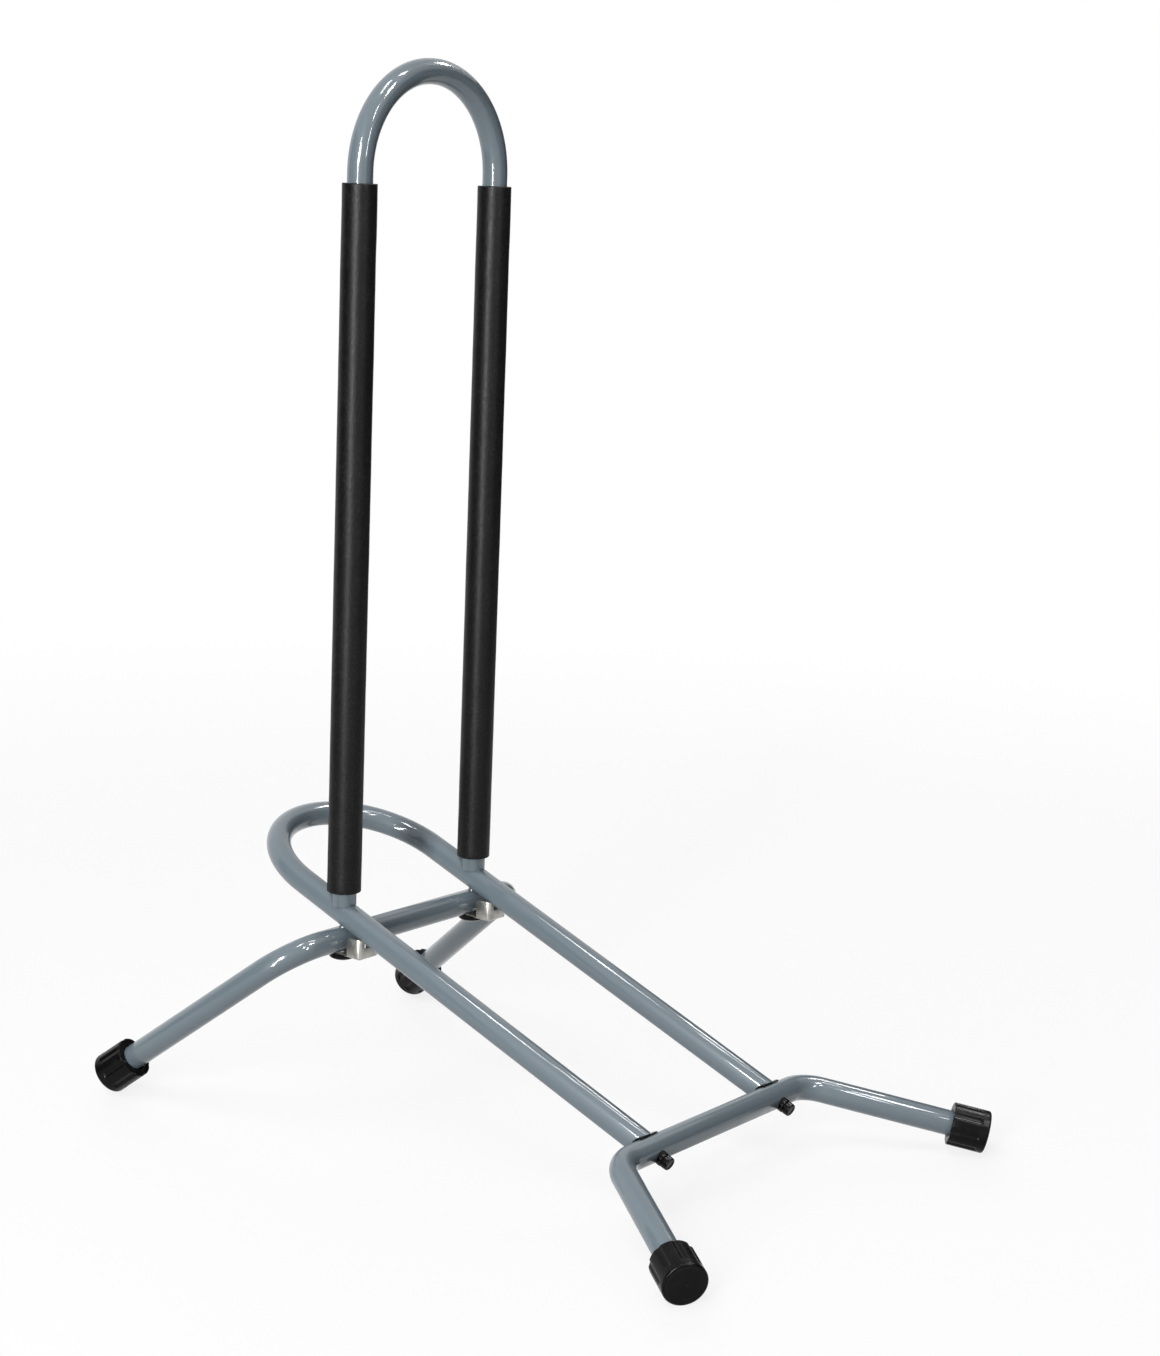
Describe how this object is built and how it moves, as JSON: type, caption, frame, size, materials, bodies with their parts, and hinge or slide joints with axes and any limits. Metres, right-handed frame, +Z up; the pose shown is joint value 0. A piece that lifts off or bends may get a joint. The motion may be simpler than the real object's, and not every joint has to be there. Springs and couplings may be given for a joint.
{
  "type": "bike parking stand",
  "caption": "Free-standing floor stand for a bicycle: one wheel rolls in between the padded legs of an upright hoop and rests in a low U-shaped tube frame on two cross legs.",
  "frame": {"origin": "on the floor, at the middle of the stand's length and width", "axes": "+X towards the splayed front feet, +Y across the stand, +Z up"},
  "size_m": [0.5819, 0.405, 0.7857],
  "materials": {
    "slate_paint": "gloss slate grey-blue powder coat",
    "black_foam": "matt closed-cell foam",
    "black_rubber": "satin moulded rubber",
    "black_plastic": "moulded",
    "zinc_plate": "zinc plated",
    "bright_steel": "bright zinc plated"
  },
  "bodies": {
    "root": {"base_frame": "slate_paint", "hoop": "slate_paint", "front_cross_leg": "slate_paint", "rear_cross_leg": "slate_paint", "foam_sleeve_left": "black_foam", "foam_sleeve_right": "black_foam", "foot_cap_front_left": "black_rubber", "foot_cap_front_right": "black_rubber", "foot_cap_rear_left": "black_rubber", "foot_cap_rear_right": "black_rubber", "bolt_front_left": "bright_steel", "bolt_front_right": "bright_steel", "bolt_rear_left": "bright_steel", "bolt_rear_right": "bright_steel", "insert_front_left": "bright_steel", "insert_front_right": "bright_steel", "insert_hoop_left": "bright_steel", "insert_hoop_right": "bright_steel", "bolt_seat_front_left": "black_plastic", "bolt_seat_front_right": "black_plastic", "bolt_cover_front_left": "black_plastic", "bolt_cover_front_right": "black_plastic", "bolt_cover_rear_left": "black_plastic", "bolt_cover_rear_right": "black_plastic", "saddle_front_left": "black_plastic", "saddle_front_right": "black_plastic", "washer_rear_left": "zinc_plate", "washer_rear_right": "zinc_plate", "clip_rear_left": "zinc_plate", "clip_rear_right": "zinc_plate"}
  },
  "joints": []
}
